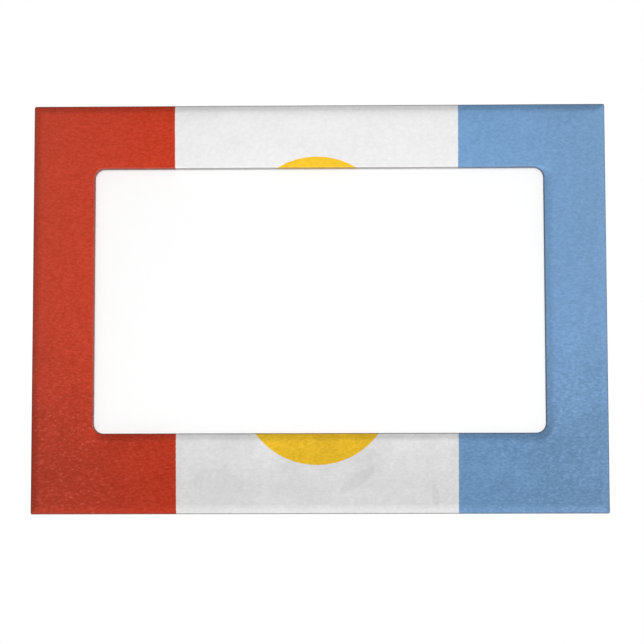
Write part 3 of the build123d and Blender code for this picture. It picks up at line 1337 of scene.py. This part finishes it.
@dataclass
class BackPanel:
    """The back: a plain sheet drawn over a board, folded in at the front, with a thumb notch at the top."""

    outline: Outline = field(default_factory=lambda: Outline(175.8, 125.0, 1.5, 0.0, 6))
    thickness: float = 0.35
    near: float = 2.4
    far: float = 0.9
    rim_round: float = 0.5
    flat_start: float = 2.0
    turn_in: float = 10.0
    mitre_slit: float = 0.4
    notch_radius: float = 15.0
    notch_steps: int = 32
    notch_mouth: float = 2.0
    mouth_steps: int = 8
    cutter_rise: float = 0.05
    cutter_depth: float = 10.0
    round_steps: int = 4
    grid: float = 6.25
    cover: Piece | None = None

    def build(self) -> None:
        """Makes the cover of the back panel."""
        corners = [(self.flat_start, self.far), (0.0, self.far), (0.0, self.near), (self.turn_in, self.near)]
        section = soft_path(corners, (self.rim_round, self.rim_round), self.round_steps)
        self.cover = cover = self.outline.within(self.flat_start).lay("plain_cover", self.far, Facing.BACK)
        edit(cover)
        pick(cover, "FACE")
        stretch_face(self.outline, section, -1)
        pick(cover, "FACE", lambda face: len(face.verts) > 4 and self._turned_in(face))
        bpy.ops.mesh.delete(type="ONLY_FACE")
        self._divide()
        done()
        cut_away(cover, self._at_slit)
        point_outwards(cover)
        thicken(cover, self.thickness)
        self._cut_notch()
        smooth(cover)

    def _turned_in(self, face: Face) -> bool:
        """Whether a face belongs to the turned-in edge."""
        return face.calc_center_median().y < -(self.near - CLOSE) * MM

    def _at_slit(self, face: Face) -> bool:
        """Whether a face of the turned-in edge lies on a mitre slit."""
        place = face.calc_center_median()
        return self._turned_in(face) and self.outline.on_mitre(place, self.mitre_slit, 2 * self.thickness)

    def _divide(self) -> None:
        """Cuts the mesh by a grid of planes, so that its large faces become small ones."""
        for size, normal in ((self.outline.width, (1, 0, 0)), (self.outline.height, (0, 0, 1))):
            planes = int(size / self.grid)
            for number in range(planes):
                at = (number - (planes - 1) / 2) * self.grid * MM
                slice_at(tuple(at * axis for axis in normal), normal)

    def _cut_notch(self) -> None:
        """Cuts the thumb notch through the cover and its turned-in edge."""
        cutter = self._notch_cutter()
        cut = self.cover.modifiers.new("notch", "BOOLEAN")
        set_up(cut, operation="DIFFERENCE", object=cutter, use_self=True)
        apply_modifiers(self.cover)
        bpy.data.objects.remove(cutter)

    def _notch_cutter(self) -> Piece:
        """Makes a block with the notch's half round hanging from it, its mouth rounded on both sides.

        Returns:
            The block.
        """
        half, depth = self.notch_radius * MM, self.cutter_depth * MM
        shoulder = (self.outline.height / 2 + self.cutter_rise) * MM
        cutter = add_plane("notch_cutter", 3 * half, (0, 0, shoulder + 1.5 * half), math.pi / 2)

        def on_mouth(edge: bmesh.types.BMEdge) -> bool:
            """Whether an edge of the plane lies between the notch's two sides."""
            return all(abs(v.co.x) < half + CLOSE and near(v.co.z, shoulder) for v in edge.verts)

        edit(cutter)
        for side in (-half, half):
            slice_at((side, 0, 0), (1, 0, 0))
        pick(cutter, "EDGE", on_mouth)
        bpy.ops.mesh.extrude_region_move(TRANSFORM_OT_translate={"value": (0, 0, -half)})
        pick(cutter, "FACE")
        bpy.ops.mesh.dissolve_faces()
        # the two lower arcs stop just short of meeting in one point
        arc = (shoulder - half, half * 0.9999, self.notch_steps)
        for height, reach, steps in (arc, (shoulder, self.notch_mouth * MM, self.mouth_steps)):
            pick(cutter, "VERT", lambda v, at=height: near(abs(v.co.x), half) and near(v.co.z, at))
            round_corners(reach, steps)
        pick(cutter, "FACE")
        bpy.ops.mesh.extrude_region_move(TRANSFORM_OT_translate={"value": (0, depth, 0)})
        bpy.ops.mesh.select_all(action="SELECT")
        bpy.ops.transform.translate(value=(0, -depth / 2, 0))
        done()
        point_outwards(cutter)
        return cutter

    def dress(self) -> None:
        """Gives the cover its finish and places it in the model."""
        finish = Leatherette("plain_embossed_pvc_leatherette", relief_mm=0.1, bump=0.8, gloss=0.4)
        fit_out(self.cover, finish, "back_cover")


@dataclass
class Stock:
    """The boards, cards, films and magnet that keep the shape the model gives them."""

    def dress(self) -> None:
        """Gives each of them its finish."""
        finishes = {
            # pressed from waste pulp, so its cut edge is grey and speckled
            Fibrous("pressed_grey_board"): ("front_board", "back_board"),
            # solid bleached card, die cut, duller than the photo card
            Fibrous("die_cut_solid_card", "#d8d0c0", "#e6dfd1", 0.6, 1.2, 0.85): (
                "left_spacer",
                "right_spacer",
                "bottom_spacer",
            ),
            # resin-coated photo card, cast smooth, a blank bright white
            Fibrous("coated_photo_card", "#fdfdfd", "#fefefe", 0.5, 3.0, 0.5, 0.002): ("photo_card",),
            # smooth wood-free paper, a warmer white than the card
            Fibrous("calendered_lining_paper", "#e9e3d6", "#f1ece2", 0.6, 1.6, 0.8): ("back_lining",),
            # tissue soaked in acrylic adhesive, off-white and slightly fibrous
            Fibrous("acrylic_tissue_tape", "#e3dfd4", "#efece4", 0.5, 2.5, 0.55): ("magnet_tape",),
            ClearPlastic("drawn_clear_pet_film"): ("window_film",),
            ClearPlastic("clear_acrylic_tape", haze=0.06, roughness=0.2, ripple_mm=6.0): ("film_tapes",),
            MagnetRubber("calendered_ferrite_rubber"): ("magnet_sheet",),
        }
        for finish, nodes in finishes.items():
            material = finish.build()
            for node in nodes:
                wear(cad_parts[node], material)
            LOG.info("%s on %s", finish.name, ", ".join(nodes))


@dataclass(frozen=True)
class PhotoCamera:
    """The camera as it stood for the photograph, with its place in millimetres and its turns in degrees."""

    place: Place = (12.02, -626.3, -57.9)
    pitch: float = 4.924
    yaw: float = 1.029
    roll: float = -0.107
    lens: float = 112.7

    def build(self) -> None:
        """Makes the camera and sets it as the scene's."""
        data = bpy.data.cameras.new("photo_camera")
        set_up(data, lens=self.lens, sensor_width=36.0, clip_start=0.01, clip_end=20.0)
        camera = bpy.data.objects.new("photo_camera", data)
        bpy.context.scene.collection.objects.link(camera)
        pitch, yaw, roll = (math.radians(turn) for turn in (self.pitch, self.yaw, self.roll))
        ahead = Vector((-math.sin(yaw) * math.cos(pitch), math.cos(yaw) * math.cos(pitch), math.sin(pitch)))
        level = Vector((math.cos(yaw), math.sin(yaw), 0.0))
        upright = level.cross(ahead)
        right = level * math.cos(roll) + upright * math.sin(roll)
        up = upright * math.cos(roll) - level * math.sin(roll)
        turned = Matrix((right, up, -ahead)).transposed().to_4x4()
        camera.matrix_world = Matrix.Translation(Vector(self.place) * MM) @ turned
        bpy.context.scene.camera = camera


@dataclass(frozen=True)
class Lamp:
    """A soft square lamp that looks at the frame, with its place in metres.

    Its share is the part of the plain level that it gives the front, or the back for a lamp behind.
    """

    name: str
    place: Place
    size: float
    share: float
    use: Use = Use.BACK

    def build(self) -> None:
        """Makes the lamp."""
        away = Vector(self.place)
        slant = abs(away.y) / away.length
        energy = self.share * math.pi**2 * away.length_squared / slant
        shaded, shines = self.use.value
        data = bpy.data.lights.new(self.name, "AREA")
        set_up(data, shape="SQUARE", size=self.size, energy=energy, use_shadow=shaded)
        lamp = bpy.data.objects.new(self.name, data)
        turn = (-away).to_track_quat("-Z", "Y").to_euler()
        set_up(lamp, location=away, rotation_euler=turn, visible_camera=False, visible_glossy=shines)
        bpy.context.scene.collection.objects.link(lamp)


@dataclass
class Studio:
    """A plain pale floor, a white surround and soft lamps."""

    surround: Surround = Surround("white_surround")
    floor_drop: float = 0.58
    paint: FloorPaint = FloorPaint("painted_studio_floor")
    lamps: tuple[Lamp, ...] = (
        Lamp("key_lamp", (0.0, -0.4, 0.02), 0.1, 0.45, Use.KEY),
        Lamp("low_right_lamp", (1.0, -0.88, -1.55), 0.6, 0.35, Use.FILL),
        Lamp("back_left_lamp", (-0.5, 0.55, 0.45), 0.4, 0.33),
        Lamp("back_right_lamp", (0.6, 0.6, 0.2), 0.4, 0.2),
    )

    def build(self) -> None:
        """Makes the world, the lamps and the floor, and sets the view transform."""
        bpy.context.scene.world = self.surround.build()
        for lamp in self.lamps:
            lamp.build()
        self._build_floor()
        bpy.context.scene.view_settings.view_transform = "Standard"

    def _build_floor(self) -> None:
        """Makes a pale floor well below the frame, which fades out at its rim."""
        bpy.ops.object.select_all(action="DESELECT")
        bpy.ops.mesh.primitive_circle_add(
            vertices=96, radius=self.paint.reach, fill_type="NGON", location=(0, 0, -self.floor_drop)
        )
        floor = bpy.context.object
        floor.name = floor.data.name = "studio_floor"
        bpy.ops.object.transform_apply(location=True, rotation=True, scale=True)
        wear(floor, self.paint.build())


def main() -> None:
    """Builds every piece and the studio."""
    logging.basicConfig(level=logging.INFO, format="%(message)s")
    PhotoCamera().build()
    for panel in (FrontPanel(), BackPanel()):
        panel.build()
        panel.dress()
        LOG.info("%s: %d faces", panel.cover.name, len(panel.cover.data.polygons))
    Stock().dress()
    Studio().build()


if __name__ == "__main__":
    main()
